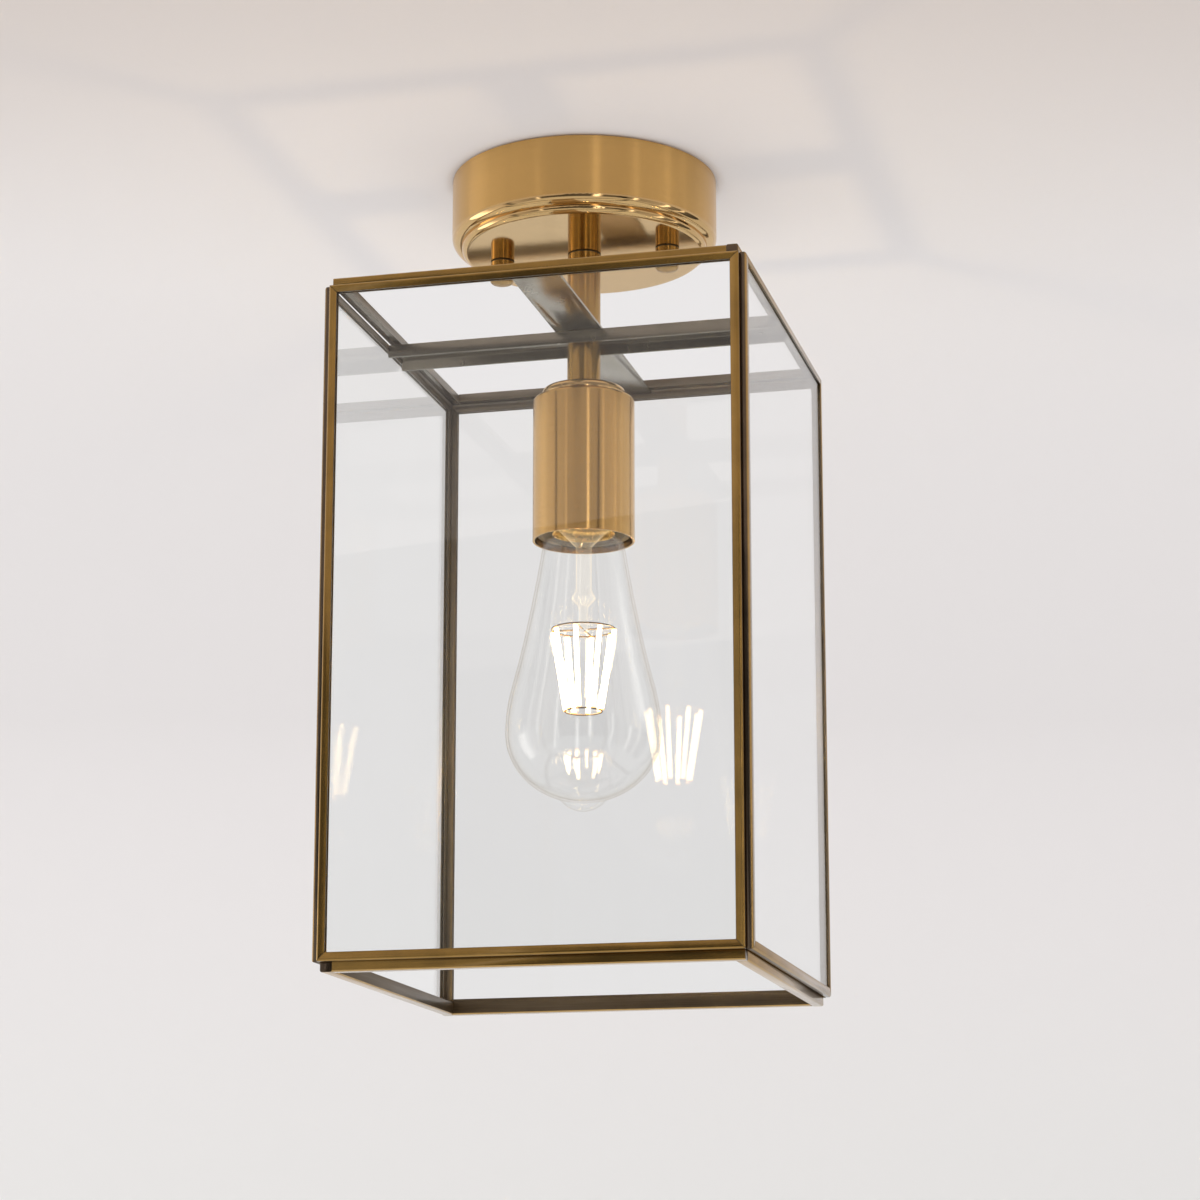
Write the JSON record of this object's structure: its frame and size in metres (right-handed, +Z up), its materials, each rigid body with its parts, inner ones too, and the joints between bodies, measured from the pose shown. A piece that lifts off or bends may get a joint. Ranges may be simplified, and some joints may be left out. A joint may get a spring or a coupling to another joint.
{
  "type": "semi-flush lantern ceiling light",
  "caption": "Square clear-glass lantern open at top and bottom, hung on a short stem from a round canopy, with a screw-in bulb and thumb nuts that free it from its ceiling strap.",
  "frame": {"origin": "middle of the mounting strap's face on the ceiling, on the stem's axis", "axes": "+Z up into the ceiling along the stem, +X along the line of the two thumb nuts, -Y the front"},
  "size_m": [0.173, 0.173, 0.3433],
  "materials": {
    "zinc_steel": "zinc plated",
    "earth_brass": "plain brass",
    "satin_brass": "satin antique brass, lacquered",
    "polished_brass": "polished antique brass",
    "bronzed_brass": "aged bronze-brass, worn bright on its edges",
    "pane_glass": "clear float glass",
    "bulb_clear_glass": "clear blown glass",
    "holder_plastic": "black moulded thermoset",
    "cap_metal": "nickel-plated brass",
    "vitrite": "black glass",
    "filament_glow": "lit phosphor-coated filament rods",
    "support_wire": "bright wire",
    "terminal_nylon": "natural moulded nylon",
    "live_sleeve": "brown wire sleeve",
    "neutral_sleeve": "blue wire sleeve",
    "earth_sleeve": "green and yellow wire sleeve"
  },
  "bodies": {
    "ceiling_bracket": {"mounting_strap": "zinc_steel", "canopy_studs": "zinc_steel", "lock_nuts": "zinc_steel", "earth_screw": "earth_brass"},
    "lantern": {"canopy": "satin_brass", "nipple": "zinc_steel", "stem_nut": "zinc_steel", "earth_tag": "earth_brass", "upper_stem": "satin_brass", "lower_stem": "satin_brass", "cross_strap": "bronzed_brass", "cross_bar": "bronzed_brass", "cup_cap": "polished_brass", "lampholder_cup": "satin_brass", "holder_body": "holder_plastic", "holder_shell": "earth_brass", "holder_contact": "earth_brass", "terminal_block": "terminal_nylon", "terminal_screws": "earth_brass", "live_wire": "live_sleeve", "neutral_wire": "neutral_sleeve", "earth_wire": "earth_sleeve", "front_channel_top": "bronzed_brass", "front_channel_bottom": "bronzed_brass", "front_channel_left": "bronzed_brass", "front_channel_right": "bronzed_brass", "front_pane": "pane_glass", "front_top_rail": "bronzed_brass", "front_bottom_rail": "bronzed_brass", "right_channel_top": "bronzed_brass", "right_channel_bottom": "bronzed_brass", "right_channel_left": "bronzed_brass", "right_channel_right": "bronzed_brass", "right_pane": "pane_glass", "right_top_rail": "bronzed_brass", "right_bottom_rail": "bronzed_brass", "back_channel_top": "bronzed_brass", "back_channel_bottom": "bronzed_brass", "back_channel_left": "bronzed_brass", "back_channel_right": "bronzed_brass", "back_pane": "pane_glass", "back_top_rail": "bronzed_brass", "back_bottom_rail": "bronzed_brass", "left_channel_top": "bronzed_brass", "left_channel_bottom": "bronzed_brass", "left_channel_left": "bronzed_brass", "left_channel_right": "bronzed_brass", "left_pane": "pane_glass", "left_top_rail": "bronzed_brass", "left_bottom_rail": "bronzed_brass"},
    "left_nut": {"thumb_nut_left": "polished_brass"},
    "right_nut": {"thumb_nut_right": "polished_brass"},
    "bulb_end": {"bulb_tip_contact": "cap_metal"},
    "bulb": {"bulb_glass": "bulb_clear_glass", "bulb_cap": "cap_metal", "bulb_insulator": "vitrite", "bulb_mount": "bulb_clear_glass", "filaments": "filament_glow", "filament_wires": "support_wire"}
  },
  "joints": [
    {"name": "canopy_drop", "type": "slide", "parent": "ceiling_bracket", "child": "lantern", "axis": [0, 0, -1], "range_m": [0, 0.0056]},
    {"name": "left_nut_turn", "type": "hinge", "parent": "lantern", "child": "left_nut", "pos_m": [-0.036, 0, -0.0315], "axis": [0, 0, -1], "range_deg": [0, 2881]},
    {"name": "right_nut_turn", "type": "hinge", "parent": "lantern", "child": "right_nut", "pos_m": [0.036, 0, -0.0315], "axis": [0, 0, -1], "range_deg": [0, 2881]},
    {"name": "bulb_advance", "type": "slide", "parent": "lantern", "child": "bulb_end", "axis": [0, 0, -1], "range_m": [0, 0.01816]},
    {"name": "bulb_turn", "type": "hinge", "parent": "bulb_end", "child": "bulb", "pos_m": [0, 0, -0.1285], "axis": [0, 0, -1], "range_deg": [0, 1800]}
  ],
  "couplings": [
    {"joint": "left_nut_turn", "follows": "canopy_drop", "rad_per_m": 8976},
    {"joint": "right_nut_turn", "follows": "canopy_drop", "rad_per_m": 8976},
    {"joint": "bulb_advance", "follows": "bulb_turn", "m_per_rad": 0.00057751}
  ]
}
